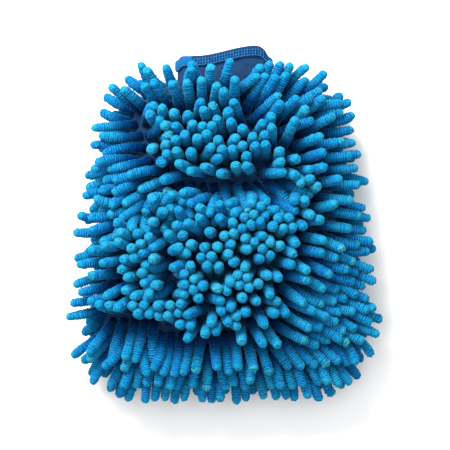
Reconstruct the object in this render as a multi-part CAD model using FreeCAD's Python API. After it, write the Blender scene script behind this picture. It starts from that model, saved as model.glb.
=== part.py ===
import FreeCAD, Part

import math
import os
import random

from FreeCAD import Vector

# Chenille wash mitt: a flat bag of two tufted panels with a lining, an elastic cuff,
# and rows of soft noodles sewn all over both panels.
# It lies on its back: +Z is the front of the mitt, +Y points out of the cuff, +X is the
# wearer's right with the front up. The origin is under the middle, on the surface it lies on.
# All lengths are in millimetres.

# ---- driving dimensions ----

# noodles
NOODLE_RADIUS = 3.6
NOODLE_LENGTH = 32.0
LENGTH_SPREAD = 0.05        # each noodle is up to this much longer or shorter
ROWS = 22                   # rows of noodles on each panel
NOODLE_PITCH = 7.7          # along a row
ROOT_SCATTER = 0.7          # how far a root strays from its place in the row
FIRST_ROW = 4.0             # from the closed end to the first row
LAST_ROW = 10.0             # from the last row to the wrist
ROW_END = 2.5               # from a row's last noodle to the seam

# bag, in plan
TIP_Y = -101.0              # closed end
WRIST_Y = 102.0             # where the cuff is sewn on
FULL_WIDTH = 89.0           # half width near the closed end
SHOULDER_WIDTH = 60.0       # half width just below the wrist
WRIST_WIDTH = 34.0          # half width at the wrist
TAPER = 2.2                 # the sides draw in with this power of the way to the wrist
CORNER = 0.10               # share of the length that the closed end's corners take
CORNER_POWER = 3.2          # roundness of those corners: 2 is an ellipse, more is squarer
SHOULDER = 0.13             # share of the length that the shoulders take
SHOULDER_POWER = 2.2

# bag, in thickness, measured from the plane of the seam
SEAM_Z = 29.0
FRONT_RISE = 15.0
BACK_RISE = 11.0
WRIST_RISE = 8.0
PANEL_THICKNESS = 1.2
LINING_GAP = 0.2
LINING_THICKNESS = 0.7
LINING_INSET = 9.0          # the lining's seam lies this far inside the panels' seam
FLARE = 0.86                # from this share of the length on, the lining widens to the wrist

# cuff
CUFF_LENGTH = 21.5
RIB_THICKNESS = 1.2
BINDING_WIDTH = 8.0
BINDING_THICKNESS = 0.8
ELASTIC_WIDTH = 5.5
ELASTIC_THICKNESS = 0.45
OVERLAP_WIDTH = 11.0        # the binding's folded end, measured from the cuff's left side
OVERLAP_THICKNESS = 0.7
CUFF_PEAK_X = 24.0          # the cuff's edge is highest here
CUFF_PEAK = 7.5             # and stands this much above its left part
CUFF_RIGHT = 2.0            # height of its right end above its left part
CUFF_CORNER = 3.5           # drop of the edge at both sides of the cuff
CUFF_CORNER_REACH = 5.0     # over this distance
CUFF_STEPS = 30             # points along the edge

# seams
ALLOWANCE_OUTER = 3.5
ALLOWANCE_WIDTH = 4.5
ALLOWANCE_THICKNESS = 0.8
THREAD_RADIUS = 0.35
STITCH_LENGTH = 2.6
STITCH_PITCH = 4.2
STITCH_TAPER = 0.35         # share of a stitch that each of its pointed ends takes
CUFF_STITCHES = 18          # on each face of the cuff, in each ring
SEAM_STITCH_INSET = 5.5

SECTIONS = 15               # cross-sections that a panel is lofted through
SECTION_POINTS = 13
SEAM_CLEARANCE = 0.02       # between a panel's edge and the plane of the seam
SKIRT = 1.0                 # extra depth below that plane, cut off again


# ---- shape of the bag ----

def smooth(t):
    """Ramp from 0 to 1 with flat ends."""
    t = min(1.0, max(0.0, t))
    return t * t * (3.0 - 2.0 * t)


def along(y):
    """Share of the bag's length between its closed end and y."""
    return min(1.0, max(0.0, (y - TIP_Y) / (WRIST_Y - TIP_Y)))


def half_width(y):
    """Half width of the bag at y."""
    s = along(y)
    width = FULL_WIDTH - (FULL_WIDTH - SHOULDER_WIDTH) * s ** TAPER
    if s < CORNER:
        width *= (1.0 - (1.0 - s / CORNER) ** CORNER_POWER) ** (1.0 / CORNER_POWER)
    if s > 1.0 - SHOULDER:
        t = (s - 1.0 + SHOULDER) / SHOULDER
        share = (1.0 - t ** SHOULDER_POWER) ** (1.0 / SHOULDER_POWER)
        width = WRIST_WIDTH + (width - WRIST_WIDTH) * share
    return width


def inset_width(y, inset):
    """Half width at y of an outline drawn inside the bag's own outline, inset all round."""
    to_nearest_end = inset if y > 0.0 else -inset
    return half_width(min(WRIST_Y, y + to_nearest_end)) - inset


def middle_rise(y, full):
    """Height of a face over the seam along its middle line, where full is its greatest."""
    s = along(y)
    start = full * math.sqrt(1.0 - (1.0 - min(1.0, s / 0.35)) ** 2)
    return start + (WRIST_RISE - full) * smooth((s - 0.6) / 0.4)


def height(x, y, full, inset=0.0):
    """Height of a face of the bag over the seam plane at x, y, or None outside the bag."""
    width = inset_width(y, inset)
    if y < TIP_Y + inset or y > WRIST_Y + CUFF_LENGTH or abs(x) >= width:
        return None
    roundness = smooth(along(y) * 4.0 - 3.0)
    power = 3.0 - roundness
    return middle_rise(y, full) * (1.0 - abs(x / width) ** power) ** (0.7 - 0.2 * roundness)


def normal(x, y, full):
    """Direction in which a face of the bag looks at x, y, with +Z away from the seam plane."""
    step = 0.5
    steepest = 1.4
    here = height(x, y, full)
    slopes = []
    for dx, dy in ((step, 0.0), (0.0, step)):
        ahead = height(x + dx, y + dy, full)
        behind = height(x - dx, y - dy, full)
        rise = (here if ahead is None else ahead) - (here if behind is None else behind)
        slopes.append(max(-steepest, min(steepest, rise / (2.0 * step))))
    return Vector(-slopes[0], -slopes[1], 1.0).normalize()


# ---- the way the noodles lie ----

# Patches where the noodles of the front stand upright: the ends of a patch's middle line,
# and its half width. All other noodles lean away from the nearest patch.
CROWNS = (
    ((-46.0, 65.0), (12.0, 55.0), 9.0),
    ((38.0, 26.0), (-4.0, -50.0), 17.0),
    ((-62.0, -22.0), (-50.0, -54.0), 8.0),
)
FULL_LEAN = 72.0            # degrees from upright, far from every patch
LEAN_REACH = 42.0           # over this distance from a patch's edge the lean grows to that

# The back is combed outwards from its middle by the mitt's own weight: the lean near the edges
# in degrees, the distances over which it grows sideways and lengthways, the place along Y from
# which it is combed both ways, and the steady lean towards the closed end.
BACK_LEAN = 72.0
BACK_SIDE_REACH = 48.0
BACK_LENGTH_REACH = 80.0
BACK_MIDDLE = 25.0
BACK_STEADY = 22.0

# Strokes that comb the noodles of the front: the two ends of a stroke's line, and the lean of
# the noodles on its left and on its right as (degrees towards +X, degrees towards +Y, reach).
# Two different leans make a parting, where the base shows. The last value is the extra degrees
# of sideways lean per millimetre from the middle of the line, which makes the noodles fan out.
STROKES = (
    ((-70.0, 80.0), (-24.0, 88.0), (-20.0, 30.0, 16.0), (-24.0, 34.0, 12.0), 0.7),
    ((-20.0, 88.0), (22.0, 90.0), (6.0, 40.0, 16.0), (8.0, 36.0, 9.0), 0.4),
    ((16.0, 92.0), (52.0, 84.0), (30.0, 58.0, 22.0), (30.0, 54.0, 12.0), 0.3),
    ((58.0, 84.0), (72.0, 40.0), (76.0, 12.0, 26.0), (74.0, 8.0, 20.0), 0.0),
    ((76.0, 30.0), (84.0, -60.0), (76.0, -18.0, 34.0), (70.0, -16.0, 20.0), 0.0),
    ((-84.0, 30.0), (-90.0, -72.0), (-68.0, -24.0, 22.0), (-68.0, -24.0, 20.0), 0.0),
    ((-58.0, 68.0), (-48.0, 38.0), (24.0, 0.0, 20.0), (-66.0, -14.0, 24.0), 0.0),
    ((-46.0, 33.0), (28.0, 35.0), (-18.0, 0.0, 12.0), (12.0, -66.0, 26.0), 1.1),
    ((-66.0, 10.0), (-40.0, 30.0), (-62.0, -22.0, 22.0), (-34.0, -56.0, 20.0), 0.0),
    ((-36.0, -40.0), (-34.0, 0.0), (-44.0, -22.0, 15.0), (30.0, 4.0, 13.0), 0.0),
    ((-76.0, -66.0), (-30.0, -72.0), (0.0, 26.0, 13.0), (-6.0, -66.0, 16.0), 0.0),
    ((-74.0, -94.0), (78.0, -94.0), (0.0, -68.0, 26.0), (0.0, -72.0, 20.0), 0.3),
    ((6.0, 88.0), (18.0, 74.0), (50.0, 40.0, 14.0), (-8.0, 40.0, 10.0), 0.0),
)
WRIST_LEAN = 23.0           # greatest lean towards the cuff, right at the wrist
WRIST_EASE = 1.4            # and the degrees that it grows by per millimetre from there
WRIST_OPEN = (-24.0, -8.0)  # left and right of these places along X
WRIST_OPEN_EASE = 1.8       # it grows by this much more per millimetre
STRAY = 6.5                 # degrees by which a noodle strays from its neighbours


def from_line(x, y, start, end):
    """Vector from the nearest point of a line between two points, and the share along it."""
    dx, dy = end[0] - start[0], end[1] - start[1]
    share = ((x - start[0]) * dx + (y - start[1]) * dy) / (dx * dx + dy * dy)
    share = max(0.0, min(1.0, share))
    return x - start[0] - share * dx, y - start[1] - share * dy, share


def back_lean(x, y):
    """Lean of the noodles of the back, before any strays."""
    side = max(-1.0, min(1.0, x / BACK_SIDE_REACH))
    up = max(-1.0, min(1.0, (y - BACK_MIDDLE) / BACK_LENGTH_REACH))
    return BACK_LEAN * side, BACK_LEAN * up - BACK_STEADY


def front_lean(x, y):
    """Lean of the noodles of the front, before any strays."""
    best = None
    for start, end, reach in CROWNS:
        dx, dy, _ = from_line(x, y, start, end)
        beyond = math.hypot(dx, dy) - reach
        if best is None or beyond < best[0]:
            best = (beyond, dx, dy)
    beyond, dx, dy = best
    away = max(1e-6, math.hypot(dx, dy))
    angle = FULL_LEAN * smooth(beyond / LEAN_REACH)
    side, up = dx / away * angle, dy / away * angle
    for start, end, left, right, fan in STROKES:
        dx, dy, share = from_line(x, y, start, end)
        run, climb = end[0] - start[0], end[1] - start[1]
        is_left = run * (y - start[1]) > climb * (x - start[0])
        want_side, want_up, reach = left if is_left else right
        hold = 1.0 - smooth(math.hypot(dx, dy) / reach)
        spread = fan * (share - 0.5) * math.hypot(run, climb)
        side += (want_side + spread - side) * hold
        up += (want_up - up) * hold
    return side, up


def lean(x, y, front, scatter):
    """Lean of the noodle rooted at x, y: degrees towards +X and towards +Y."""
    side, up = front_lean(x, y) if front else back_lean(x, y)
    beside = max(0.0, WRIST_OPEN[0] - x, x - WRIST_OPEN[1])
    up = min(up, WRIST_LEAN + (WRIST_Y - y) * WRIST_EASE + beside * WRIST_OPEN_EASE)
    side += scatter.gauss(0.0, STRAY)
    up += scatter.gauss(0.0, STRAY)
    return side, up


# ---- noodles as arcs ----

SAMPLES = (0.18, 0.34, 0.5, 0.67, 0.84, 1.0)    # places along a noodle that keep clear of others
ROUNDS = 150
EASE = 0.6                  # share of an overlap that one round takes away
SPRING = 0.06               # share of its bend that a noodle recovers in the first round
LAST_SPRING = 0.008         # and in the last
DROOP = 0.013               # curvature that a noodle's own weight gives it, per millimetre
GREATEST_BEND = 1.2         # radians, over a noodle's whole length


class Noodle:
    """A noodle's middle line: an arc that starts at root with direction heading and bends by
    the vector bend, which is square to heading. reach is the arc's length to the centre of the
    rounded tip."""

    def __init__(self, row, front, root, heading, length):
        self.row = row
        self.front = front
        self.root = root
        self.heading = heading
        self.combed = heading
        self.bend = Vector(0.0, 0.0, 0.0)
        self.reach = length - NOODLE_RADIUS

    def point(self, distance):
        """Point of the middle line."""
        curl = self.bend.Length
        if curl < 1e-6:
            return self.root + self.heading * distance
        across = math.sin(curl * distance) / curl
        inward = (1.0 - math.cos(curl * distance)) / curl ** 2
        return self.root + self.heading * across + self.bend * inward

    def direction(self, distance):
        """Direction of the middle line."""
        curl = self.bend.Length
        if curl < 1e-6:
            return Vector(self.heading)
        turn = curl * distance
        return self.heading * math.cos(turn) + self.bend * (math.sin(turn) / curl)


def keep_above_ground(root, heading, reach):
    """Tilt a direction that would run a straight noodle into the ground."""
    steepest = (root.z - NOODLE_RADIUS) / reach
    if -heading.z <= steepest:
        return heading
    flat = Vector(heading.x, heading.y, 0.0)
    if flat.Length < 1e-6:
        flat = Vector(0.0, 1.0, 0.0)
    flat = flat.normalize() * math.sqrt(1.0 - steepest ** 2)
    return Vector(flat.x, flat.y, -steepest)


def plant():
    """Make the noodles of both panels, row by row, as they are combed and before they touch."""
    scatter = random.Random(11)
    noodles = []
    pitch = (WRIST_Y - LAST_ROW - TIP_Y - FIRST_ROW) / (ROWS - 1)
    for front in (True, False):
        full = FRONT_RISE if front else BACK_RISE
        outward = 1.0 if front else -1.0
        for row in range(ROWS):
            y_row = TIP_Y + FIRST_ROW + row * pitch
            widest = half_width(y_row) - ROW_END
            count = int(widest / NOODLE_PITCH) + 1
            for place in range(-count, count + 1):
                x_row = (place + 0.5 * (row % 2)) * NOODLE_PITCH
                if abs(x_row) > widest:
                    continue
                x = x_row + scatter.uniform(-ROOT_SCATTER, ROOT_SCATTER)
                y = y_row + scatter.uniform(-ROOT_SCATTER, ROOT_SCATTER)
                z = height(x, y, full)
                if z is None:
                    continue
                side, up = lean(x, y, front, scatter)
                angle = min(80.0, math.hypot(side, up))
                flat = Vector(side, up, 0.0)
                if flat.Length > 1e-6:
                    flat.normalize()
                heading = normal(x, y, full) + flat * math.tan(math.radians(angle))
                heading.normalize()
                heading.z *= outward
                root = Vector(x, y, SEAM_Z + outward * z)
                length = NOODLE_LENGTH * scatter.uniform(1.0 - LENGTH_SPREAD, 1.0 + LENGTH_SPREAD)
                heading = keep_above_ground(root, heading, length - NOODLE_RADIUS)
                noodles.append(Noodle(row, front, root, heading, length))
    return noodles


def neighbour_cells():
    """Half of the 26 cells around a cell, and the cell itself, so that a pair is met once."""
    cells = [(0, 0, 0)]
    for dx in (-1, 0, 1):
        for dy in (-1, 0, 1):
            for dz in (-1, 0, 1):
                if (dx, dy, dz) > (0, 0, 0):
                    cells.append((dx, dy, dz))
    return cells


def pushes(points, owner):
    """How far each sampled point is pushed by the points of other noodles."""
    cell_size = 2.0 * NOODLE_RADIUS
    cells = {}
    for index, point in enumerate(points):
        key = (int(point.x // cell_size), int(point.y // cell_size), int(point.z // cell_size))
        cells.setdefault(key, []).append(index)
    x = [point.x for point in points]
    y = [point.y for point in points]
    z = [point.z for point in points]
    push_x = [0.0] * len(points)
    push_y = [0.0] * len(points)
    push_z = [0.0] * len(points)
    closest = cell_size ** 2
    around = neighbour_cells()
    for key, members in cells.items():
        for step in around:
            others = cells.get((key[0] + step[0], key[1] + step[1], key[2] + step[2]))
            if others is None:
                continue
            same_cell = step == (0, 0, 0)
            for place, a in enumerate(members):
                for b in (members[place + 1:] if same_cell else others):
                    dx, dy, dz = x[a] - x[b], y[a] - y[b], z[a] - z[b]
                    apart = dx * dx + dy * dy + dz * dz
                    if apart >= closest or owner[a] == owner[b]:
                        continue
                    apart = math.sqrt(apart) + 1e-9
                    share = 0.5 * (cell_size - apart) / apart
                    push_x[a] += dx * share
                    push_y[a] += dy * share
                    push_z[a] += dz * share
                    push_x[b] -= dx * share
                    push_y[b] -= dy * share
                    push_z[b] -= dz * share
    return [Vector(*push) for push in zip(push_x, push_y, push_z)]


def keep_out(point, push, front, is_root_end):
    """Add what keeps a sampled point above the ground and outside the bag."""
    if push.Length > NOODLE_RADIUS:
        push = push.normalize() * NOODLE_RADIUS
    if point.z < NOODLE_RADIUS:
        push.z += NOODLE_RADIUS - point.z
    surface = height(point.x, point.y, FRONT_RISE if front else BACK_RISE)
    if surface is None or is_root_end:
        return push
    if point.y > WRIST_Y:
        surface += ELASTIC_THICKNESS + BINDING_THICKNESS + OVERLAP_THICKNESS
    outward = 1.0 if front else -1.0
    gap = (point.z - SEAM_Z) * outward - surface - NOODLE_RADIUS
    if gap < 0.0:
        push.z -= gap * outward
    return push


def lift(noodle):
    """Raise a noodle until no part of it is below the ground."""
    for _ in range(30):
        deepest = 0.0
        for s in SAMPLES:
            deepest = max(deepest, NOODLE_RADIUS - noodle.point(s * noodle.reach).z)
        if deepest < 0.01:
            return
        noodle.heading += Vector(0.0, 0.0, deepest / noodle.reach)
        noodle.heading.normalize()
        noodle.bend += Vector(0.0, 0.0, deepest / noodle.reach ** 2)
        noodle.bend -= noodle.heading * noodle.bend.dot(noodle.heading)


def settle(noodles):
    """Bend the noodles away from each other, the bag and the ground, one round at a time."""
    second = sum(s ** 2 for s in SAMPLES)
    third = sum(s ** 3 for s in SAMPLES) / 2.0
    fourth = sum(s ** 4 for s in SAMPLES) / 4.0
    scale = second * fourth - third ** 2
    owner = [index for index in range(len(noodles)) for _ in SAMPLES]
    for step in range(ROUNDS):
        spring = SPRING + (LAST_SPRING - SPRING) * step / (ROUNDS - 1)
        points = [noodle.point(s * noodle.reach) for noodle in noodles for s in SAMPLES]
        push = pushes(points, owner)
        for index, noodle in enumerate(noodles):
            first_moment = Vector(0.0, 0.0, 0.0)
            second_moment = Vector(0.0, 0.0, 0.0)
            for place, s in enumerate(SAMPLES):
                at = index * len(SAMPLES) + place
                move = keep_out(points[at], push[at], noodle.front, place == 0)
                first_moment += move * s
                second_moment += move * (s * s / 2.0)
            swing = (first_moment * fourth - second_moment * third) * (EASE / scale / noodle.reach)
            curl = (second_moment * second - first_moment * third)
            curl *= EASE / scale / noodle.reach ** 2
            heading = noodle.heading
            weight = Vector(0.0, 0.0, -DROOP)
            weight -= heading * weight.dot(heading)
            bend = noodle.bend + curl + (weight - noodle.bend) * spring
            heading = heading + swing + (noodle.combed - heading) * spring
            noodle.heading = heading.normalize()
            bend -= noodle.heading * bend.dot(noodle.heading)
            if bend.Length * noodle.reach > GREATEST_BEND:
                bend = bend.normalize() * (GREATEST_BEND / noodle.reach)
            noodle.bend = bend
            lift(noodle)


# ---- solids ----

def noodle_solid(noodle):
    """A tube along the noodle's arc, flat at the root and round at the tip."""
    disc = Part.Face(Part.Wire(Part.makeCircle(NOODLE_RADIUS, noodle.root, noodle.heading)))
    curl = noodle.bend.Length
    if curl * noodle.reach < 0.02:
        tube = disc.extrude(noodle.heading * noodle.reach)
        end = noodle.root + noodle.heading * noodle.reach
        facing = noodle.heading
    else:
        centre = noodle.root + noodle.bend * (1.0 / curl ** 2)
        axis = noodle.heading.cross(noodle.bend)
        tube = disc.revolve(centre, axis, math.degrees(curl * noodle.reach))
        end = noodle.point(noodle.reach)
        facing = noodle.direction(noodle.reach)
    tip = Part.makeSphere(NOODLE_RADIUS, end, facing, 0.0, 90.0, 360.0)
    return tube.fuse(tip)


# ---- bag solids ----

def section_wire(y, full, inset, side_inset, skirt):
    """Closed outline of one half of the bag at y: inset below its face, side_inset inside it,
    with straight sides that go on for skirt below the plane of the seam."""
    width = inset_width(y, side_inset)
    shrink = (middle_rise(y, full) - inset) / middle_rise(y, full)
    points = []
    for step in range(SECTION_POINTS):
        turn = math.pi * step / (SECTION_POINTS - 1)
        x = -width * math.cos(turn)
        edge = step in (0, SECTION_POINTS - 1)
        z = 0.0 if edge else height(x, y, full, side_inset) * shrink
        points.append(Vector(x, y, z))
    curve = Part.BSplineCurve()
    curve.interpolate(points)
    left, right = [Vector(point.x, y, -skirt) for point in (points[0], points[-1])]
    corners = (points[-1], right, left, points[0])
    lines = [Part.makeLine(start, end) for start, end in zip(corners, corners[1:])]
    return Part.Wire([curve.toShape()] + lines)


def half_bag(full, inset, side_inset, end_y, skirt):
    """Solid half of the bag up to end_y. side_inset is how far inside the bag's outline it lies,
    except at the wrist, where inset counts."""
    start_y = TIP_Y + side_inset + 1.0
    wires = []
    for step in range(SECTIONS):
        # The sections are closer together near both ends.
        y = start_y + (end_y - start_y) * (0.5 - 0.5 * math.cos(math.pi * step / (SECTIONS - 1)))
        at_wrist = smooth((along(y) - FLARE) / (1.0 - FLARE))
        blended = side_inset + (inset - side_inset) * at_wrist
        wires.append(section_wire(y, full, inset, blended, skirt))
    return Part.makeLoft(wires, True, False)


def shell(is_front, outer_inset, thickness, side_inset):
    """One layer of one side, from the closed end to the wrist."""
    full = FRONT_RISE if is_front else BACK_RISE
    outer = half_bag(full, outer_inset, side_inset, WRIST_Y, SKIRT)
    inner = half_bag(
        full, outer_inset + thickness, side_inset + thickness, WRIST_Y + 1.0, 2.0 * SKIRT)
    size = 4.0 * FULL_WIDTH
    corner = Vector(-size / 2.0, -size / 2.0, SEAM_CLEARANCE - size)
    layer = outer.cut(inner).cut(Part.makeBox(size, size, size, corner))
    if not is_front:
        layer = layer.mirror(Vector(0.0, 0.0, 0.0), Vector(0.0, 0.0, 1.0))
    layer.translate(Vector(0.0, 0.0, SEAM_Z))
    return layer


def panel(is_front):
    """Tufted base fabric of one side."""
    return shell(is_front, 0.0, PANEL_THICKNESS, 0.0)


def lining(is_front):
    """Smooth inner layer of one side, sewn in a little way inside the seam of the panels."""
    return shell(is_front, PANEL_THICKNESS + LINING_GAP, LINING_THICKNESS, LINING_INSET)


def seam_outline(inset, end_y):
    """Flat face with the bag's outline in the plane of the seam, inset all round."""
    start_y = TIP_Y + inset
    right = []
    for step in range(SECTIONS):
        share = (step / (SECTIONS - 1)) ** 1.8
        y = start_y + 0.4 + (end_y - start_y - 0.4) * share
        right.append(Vector(inset_width(y, inset), y, 0.0))
    left = [Vector(-point.x, point.y, 0.0) for point in right]
    side = Part.BSplineCurve()
    side.interpolate(right)
    other_side = Part.BSplineCurve()
    other_side.interpolate(left)
    edges = [
        side.toShape(),
        Part.makeLine(right[-1], left[-1]),
        other_side.toShape(),
        Part.makeLine(left[0], right[0]),
    ]
    return Part.Face(Part.Wire(Part.__sortEdges__(edges)))


def seam_allowance():
    """Edges of both panels, turned in and lying inside the seam."""
    end_y = TIP_Y + FLARE * (WRIST_Y - TIP_Y)
    outer = seam_outline(ALLOWANCE_OUTER, end_y)
    inner = seam_outline(ALLOWANCE_OUTER + ALLOWANCE_WIDTH, end_y + 1.0)
    strip = outer.cut(inner).extrude(Vector(0.0, 0.0, ALLOWANCE_THICKNESS))
    strip.translate(Vector(0.0, 0.0, SEAM_Z - ALLOWANCE_THICKNESS / 2.0))
    return strip


# ---- cuff solids ----

def cuff_edge(x):
    """Place of the cuff's upper edge along Y: it swells up on the right, with rounded corners."""
    level = WRIST_Y + CUFF_LENGTH
    if x < CUFF_PEAK_X:
        share = (x + WRIST_WIDTH) / (CUFF_PEAK_X + WRIST_WIDTH)
        level += CUFF_PEAK * smooth(share * 1.3 - 0.3)
    else:
        share = (x - CUFF_PEAK_X) / (WRIST_WIDTH - CUFF_PEAK_X)
        level += CUFF_PEAK + (CUFF_RIGHT - CUFF_PEAK) * smooth(share)
    from_side = max(0.0, WRIST_WIDTH - abs(x))
    return level - CUFF_CORNER * (1.0 - smooth(from_side / CUFF_CORNER_REACH))


def tube(offset, thickness):
    """Oval tube from the wrist along Y: its inner wall is offset from the rib's inner wall."""
    length = 2.0 * CUFF_LENGTH
    rings = []
    for grow in (offset, offset + thickness):
        long_axis = WRIST_WIDTH - 1.0 + grow
        short_axis = WRIST_RISE - 1.0 + grow
        centre = Vector(0.0, WRIST_Y, SEAM_Z)
        oval = Part.Ellipse(
            centre + Vector(long_axis, 0.0, 0.0), centre + Vector(0.0, 0.0, short_axis), centre)
        rings.append(Part.Face(Part.Wire(oval.toShape())).extrude(Vector(0.0, length, 0.0)))
    return rings[1].cut(rings[0])


def band(lower, upper, left=-2.0 * WRIST_WIDTH, right=2.0 * WRIST_WIDTH):
    """Block that follows the cuff's edge, from lower to upper under it, between two sides."""
    reach = 1.3 * WRIST_WIDTH
    start, stop = max(left, -reach), min(right, reach)
    top = []
    for step in range(CUFF_STEPS + 1):
        x = start + (stop - start) * step / CUFF_STEPS
        inside = max(-WRIST_WIDTH, min(WRIST_WIDTH, x))
        top.append(Vector(x, cuff_edge(inside) - upper, 0.0))
    drop = Vector(0.0, upper - lower, 0.0)
    bottom = [point + drop for point in top]
    upper_curve = Part.BSplineCurve()
    upper_curve.interpolate(top)
    lower_curve = Part.BSplineCurve()
    lower_curve.interpolate(bottom)
    edges = [
        upper_curve.toShape(),
        Part.makeLine(top[-1], bottom[-1]),
        lower_curve.toShape(),
        Part.makeLine(bottom[0], top[0]),
    ]
    face = Part.Face(Part.Wire(Part.__sortEdges__(edges)))
    return face.extrude(Vector(0.0, 0.0, 2.0 * SEAM_Z))


def wrist_rib():
    """Plain knit tube between the panels and the edge of the cuff."""
    whole = 2.0 * CUFF_LENGTH
    return tube(0.0, RIB_THICKNESS).common(band(whole, BINDING_THICKNESS))


def cuff_binding():
    """Woven band folded over the rib's edge: an outer leg, an inner leg and the fold."""
    legs = tube(-BINDING_THICKNESS, RIB_THICKNESS + ELASTIC_THICKNESS + 2.0 * BINDING_THICKNESS)
    space = tube(0.0, RIB_THICKNESS + ELASTIC_THICKNESS)
    folded = legs.common(band(BINDING_WIDTH, 0.0))
    return folded.cut(space.common(band(BINDING_WIDTH + 1.0, BINDING_THICKNESS)))


def wrist_elastic():
    """Flat elastic inside the binding, round the rib."""
    ring = tube(RIB_THICKNESS, ELASTIC_THICKNESS)
    top = BINDING_THICKNESS + (BINDING_WIDTH - BINDING_THICKNESS - ELASTIC_WIDTH) / 2.0
    return ring.common(band(top + ELASTIC_WIDTH, top))


def overlap():
    """End of the binding, folded under and lapped over its start at the cuff's left side."""
    outer_leg = RIB_THICKNESS + ELASTIC_THICKNESS + BINDING_THICKNESS
    layer = tube(outer_leg, OVERLAP_THICKNESS)
    return layer.common(band(BINDING_WIDTH - 0.2, 0.2, right=OVERLAP_WIDTH - WRIST_WIDTH))


# ---- stitches ----

def stitch(middle, direction):
    """One stitch: a short thread with pointed ends."""
    straight = STITCH_LENGTH * (1.0 - 2.0 * STITCH_TAPER)
    start = middle - direction * (straight / 2.0)
    body = Part.makeCylinder(THREAD_RADIUS, straight, start, direction)
    ends = []
    for sign in (-1.0, 1.0):
        inner_end = middle + direction * (straight / 2.0 * sign)
        ends.append(Part.makeCone(
            THREAD_RADIUS, THREAD_RADIUS * 0.3, STITCH_LENGTH * STITCH_TAPER, inner_end,
            direction * sign))
    return body.fuse(ends)


def seam_stitches():
    """Thread that joins the two panels, on top of the turned-in edges."""
    level = SEAM_Z + ALLOWANCE_THICKNESS / 2.0 + THREAD_RADIUS
    outline = seam_outline(SEAM_STITCH_INSET, TIP_Y + FLARE * (WRIST_Y - TIP_Y) - 2.0)
    edges = [edge for edge in outline.Edges if edge.Curve.TypeId != "Part::GeomLine"]
    made = []
    for edge in edges:
        count = int(edge.Length / STITCH_PITCH)
        for step in range(count):
            at = edge.getParameterByLength(edge.Length * (step + 0.5) / count)
            middle = edge.valueAt(at) + Vector(0.0, 0.0, level)
            made.append(stitch(middle, edge.tangentAt(at)))
    return Part.makeCompound(made)


def on_cuff(turn, grow):
    """Place across and up of a point on the cuff at an angle round it."""
    x = (WRIST_WIDTH - 1.0 + grow) * math.cos(turn)
    z = SEAM_Z + (WRIST_RISE - 1.0 + grow) * math.sin(turn)
    return x, z


def below_edge(drop):
    """Line round the cuff that runs this far below its edge, as a function of X."""
    return lambda x: cuff_edge(x) - drop


def at_wrist(rise):
    """Line round the cuff that runs straight, this far above the wrist."""
    return lambda x: WRIST_Y + rise


def ring_of_stitches(line, grow):
    """Stitches along a line round the cuff, evenly spaced on both faces and round both sides."""
    shares = [(step + 0.5) / CUFF_STITCHES for step in range(CUFF_STITCHES)]
    turns = [math.acos(1.0 - 2.0 * share) for share in shares]
    made = []
    for face in (1.0, -1.0):
        for turn in turns:
            x, z = on_cuff(face * turn, grow)
            next_x, next_z = on_cuff(face * turn + 0.01, grow)
            middle = Vector(x, line(x), z)
            ahead = Vector(next_x, line(next_x), next_z) - middle
            made.append(stitch(middle, ahead.normalize()))
    return Part.makeCompound(made)


def overlap_stitches():
    """Bar of stitches across the binding where its folded end stops, on the front."""
    made = []
    rows = 3
    x = OVERLAP_WIDTH - WRIST_WIDTH - 1.2
    grow = RIB_THICKNESS + ELASTIC_THICKNESS + BINDING_THICKNESS + OVERLAP_THICKNESS
    grow += THREAD_RADIUS
    turn = math.acos(x / (WRIST_WIDTH - 1.0 + grow))
    usable = BINDING_WIDTH - 1.0
    _, z = on_cuff(turn, grow)
    for step in range(rows):
        y = cuff_edge(x) - 0.5 - usable * (step + 0.5) / rows
        made.append(stitch(Vector(x, y, z), Vector(0.0, 1.0, 0.0)))
    return Part.makeCompound(made)


# ---- the part ----

def piles(noodles):
    """Solids of the rows of noodles, by node name."""
    rows = {}
    for noodle in noodles:
        side = "front" if noodle.front else "back"
        name = "%s_pile_row_%02d" % (side, noodle.row + 1)
        rows.setdefault(name, []).append(noodle_solid(noodle))
    return {name: Part.makeCompound(solids) for name, solids in rows.items()}


def lowest_highest(noodles, axis):
    """Lowest and highest place of the noodles along X, Y or Z."""
    low, high = math.inf, -math.inf
    fine = 12
    for noodle in noodles:
        for step in range(fine + 1):
            distance = noodle.reach * step / fine
            middle = noodle.point(distance)[axis]
            facing = noodle.direction(distance)[axis]
            reach = NOODLE_RADIUS * math.sqrt(max(0.0, 1.0 - facing ** 2))
            low = min(low, middle - reach)
            high = max(high, middle + reach)
        tip = noodle.point(noodle.reach)[axis]
        low = min(low, tip - NOODLE_RADIUS)
        high = max(high, tip + NOODLE_RADIUS)
    return low, high


rib_middle = RIB_THICKNESS + THREAD_RADIUS
binding_face = RIB_THICKNESS + ELASTIC_THICKNESS + BINDING_THICKNESS + THREAD_RADIUS
pile = plant()
settle(pile)

shapes = {
    "front_panel": panel(True),
    "back_panel": panel(False),
    "front_lining": lining(True),
    "back_lining": lining(False),
    "seam_allowance": seam_allowance(),
    "seam_stitches": seam_stitches(),
    "wrist_rib": wrist_rib(),
    "cuff_binding": cuff_binding(),
    "wrist_elastic": wrist_elastic(),
    "binding_overlap": overlap(),
    "overlap_stitches": overlap_stitches(),
    "binding_stitches": ring_of_stitches(below_edge(BINDING_WIDTH - 1.2), binding_face),
    "cuff_seam_stitches": ring_of_stitches(at_wrist(2.5), rib_middle),
}
shapes.update(piles(pile))

left, right = lowest_highest(pile, 0)
bottom, _ = lowest_highest(pile, 1)
ground, _ = lowest_highest(pile, 2)
top = shapes["cuff_binding"].BoundBox.YMax
shift = Vector(-(left + right) / 2.0, -(bottom + top) / 2.0, -ground)

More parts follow.
